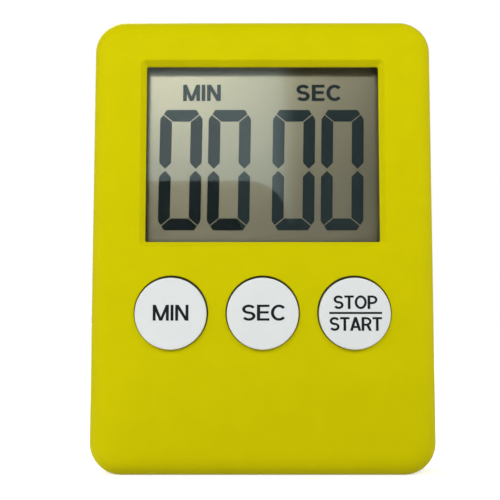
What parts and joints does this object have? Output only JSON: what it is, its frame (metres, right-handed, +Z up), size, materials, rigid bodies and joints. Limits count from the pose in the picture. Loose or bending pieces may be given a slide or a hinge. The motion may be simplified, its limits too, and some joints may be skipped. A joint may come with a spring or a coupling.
{
  "type": "digital countdown timer",
  "caption": "Slim pocket-size countdown timer with a segment display, round push buttons, a fold-out rear stand, magnets and a coin cell behind a twist-lock door.",
  "frame": {"origin": "centre of the bottom edge on the surface it stands on, midway through the depth from the rear plane to the button caps", "axes": "+Z up the face, +X to the right of the face, +Y to the rear, so the face looks towards -Y"},
  "size_m": [0.06, 0.012, 0.08],
  "materials": {
    "case_plastic": "fine satin texture, moulded",
    "cap_plastic": "smooth semi-gloss",
    "white_plastic": "moulded",
    "clear_plastic": "clear, polished",
    "display_glass": "clear glass",
    "display_film": "neutral polarising film",
    "reflector_film": "grey-green transflective film",
    "dark_segments": "lit display segments",
    "seal_resin": "cured resin line",
    "strip_rubber": "layered conductive rubber",
    "board": "glass-epoxy with solder mask",
    "black_resin": "moulded epoxy",
    "capacitor_ceramic": "fired ceramic",
    "keypad_rubber": "silicone rubber",
    "carbon_rubber": "carbon-filled rubber",
    "steel": "zinc-plated",
    "nickel": "bright nickel plate",
    "spring_bronze": "plated spring bronze",
    "brass": "rolled brass",
    "piezo_ceramic": "silvered ceramic",
    "red_insulation": "insulated wire",
    "black_insulation": "insulated wire"
  },
  "bodies": {
    "case": {"front_case": "case_plastic", "rear_cover": "case_plastic", "case_screws": "steel", "window_lens": "clear_plastic", "display_frame": "white_plastic", "front_polariser": "display_film", "front_glass": "display_glass", "digit_segments": "dark_segments", "display_seal": "seal_resin", "rear_glass": "display_glass", "rear_polariser": "reflector_film", "contact_strip": "strip_rubber", "circuit_board": "board", "board_screws": "steel", "chip_blob": "black_resin", "quartz_crystal": "steel", "chip_capacitors": "capacitor_ceramic", "chip_resistors": "black_resin", "boost_coil": "black_resin", "boost_transistor": "black_resin", "keypad_sheet": "keypad_rubber", "min_dome": "keypad_rubber", "sec_dome": "keypad_rubber", "start_stop_dome": "keypad_rubber", "coin_cell": "nickel", "cell_positive_contact": "spring_bronze", "cell_negative_contact": "spring_bronze", "magnets": "nickel", "piezo_disc": "brass", "piezo_ceramic": "piezo_ceramic", "piezo_red_wire": "red_insulation", "piezo_black_wire": "black_insulation"},
    "min_key": {"min_button": "cap_plastic", "min_contact_pill": "carbon_rubber"},
    "sec_key": {"sec_button": "cap_plastic", "sec_contact_pill": "carbon_rubber"},
    "start_stop_key": {"start_stop_button": "cap_plastic", "start_stop_contact_pill": "carbon_rubber"},
    "rear_stand": {"stand": "case_plastic"},
    "door": {"battery_door": "case_plastic"}
  },
  "joints": [
    {"name": "min_press", "type": "slide", "parent": "case", "child": "min_key", "axis": [0, 1, 0], "range_m": [0, 0.0008], "stiffness_N_per_m": 1500, "deforming": ["min_dome"]},
    {"name": "sec_press", "type": "slide", "parent": "case", "child": "sec_key", "axis": [0, 1, 0], "range_m": [0, 0.0008], "stiffness_N_per_m": 1500, "deforming": ["sec_dome"]},
    {"name": "start_stop_press", "type": "slide", "parent": "case", "child": "start_stop_key", "axis": [0, 1, 0], "range_m": [0, 0.0008], "stiffness_N_per_m": 1500, "deforming": ["start_stop_dome"]},
    {"name": "stand_hinge", "type": "hinge", "parent": "case", "child": "rear_stand", "pos_m": [0, 0.00495, 0.043], "axis": [1, 0, 0], "range_deg": [0, 44]},
    {"name": "door_twist", "type": "hinge", "parent": "case", "child": "door", "pos_m": [0, 0.005, 0.06], "axis": [0, 1, 0], "range_deg": [0, 50]}
  ]
}
